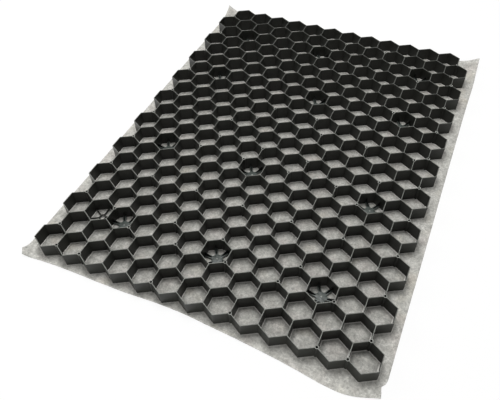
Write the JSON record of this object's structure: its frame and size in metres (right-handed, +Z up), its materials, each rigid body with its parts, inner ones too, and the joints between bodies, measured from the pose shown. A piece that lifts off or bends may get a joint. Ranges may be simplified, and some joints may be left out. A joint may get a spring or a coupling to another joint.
{
  "type": "gravel grid",
  "caption": "Flat panel of open hexagonal plastic cells on a sheet of geotextile, laid on the ground to hold gravel in place.",
  "frame": {"origin": "centre of the bounding box's underside, which is the underside of the geotextile", "axes": "+Z up, out of the cells' open tops, and +Y along the long side, away from the unevenly cut edge of the geotextile"},
  "size_m": [0.69, 0.9276, 0.0315],
  "materials": {
    "black_plastic": "dull moulded recycled plastic",
    "geotextile": "pale grey needled nonwoven"
  },
  "bodies": {
    "root": {"honeycomb_rows_01_to_05": "black_plastic", "honeycomb_rows_06_to_10": "black_plastic", "honeycomb_rows_11_to_15": "black_plastic", "honeycomb_rows_16_to_20": "black_plastic", "geotextile": "geotextile"}
  },
  "joints": []
}
